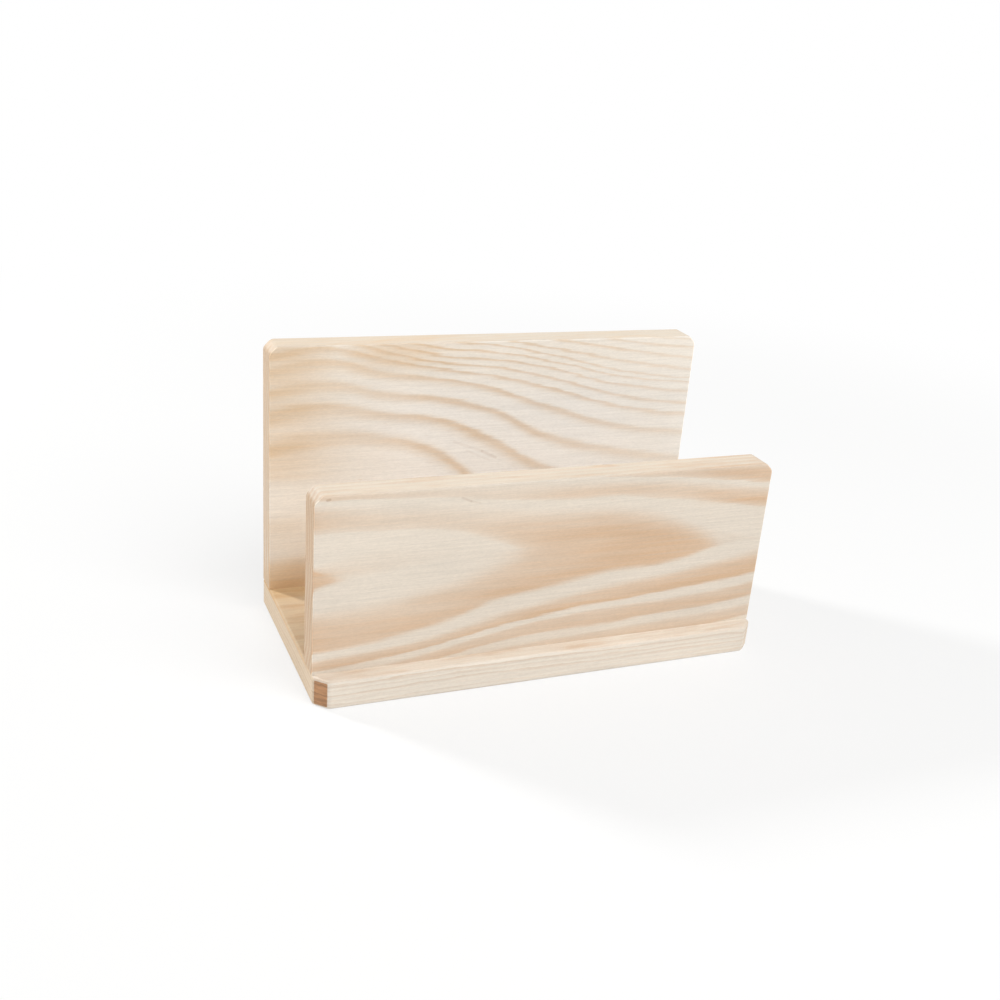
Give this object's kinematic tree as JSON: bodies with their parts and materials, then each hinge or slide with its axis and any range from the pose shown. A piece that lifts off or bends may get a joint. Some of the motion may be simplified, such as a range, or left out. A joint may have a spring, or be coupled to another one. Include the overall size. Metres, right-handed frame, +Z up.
{
  "type": "napkin holder",
  "caption": "Open pine napkin holder: a low front board and a taller back board stand on a base board, glued and screwed from below.",
  "frame": {"origin": "middle of the base board's underside, on the surface that the holder stands on", "axes": "+X along the boards, to the right seen from the front; +Y to the taller back board; +Z up"},
  "size_m": [0.16, 0.077, 0.098],
  "materials": {
    "base_pine": "sanded, unfinished pine",
    "front_pine": "sanded, unfinished flat-sawn pine",
    "back_pine": "sanded, unfinished flat-sawn pine",
    "screw_steel": "zinc-plated steel"
  },
  "bodies": {
    "root": {"base_board": "base_pine", "front_board": "front_pine", "back_board": "back_pine", "front_screws": "screw_steel", "back_screws": "screw_steel"}
  },
  "joints": []
}
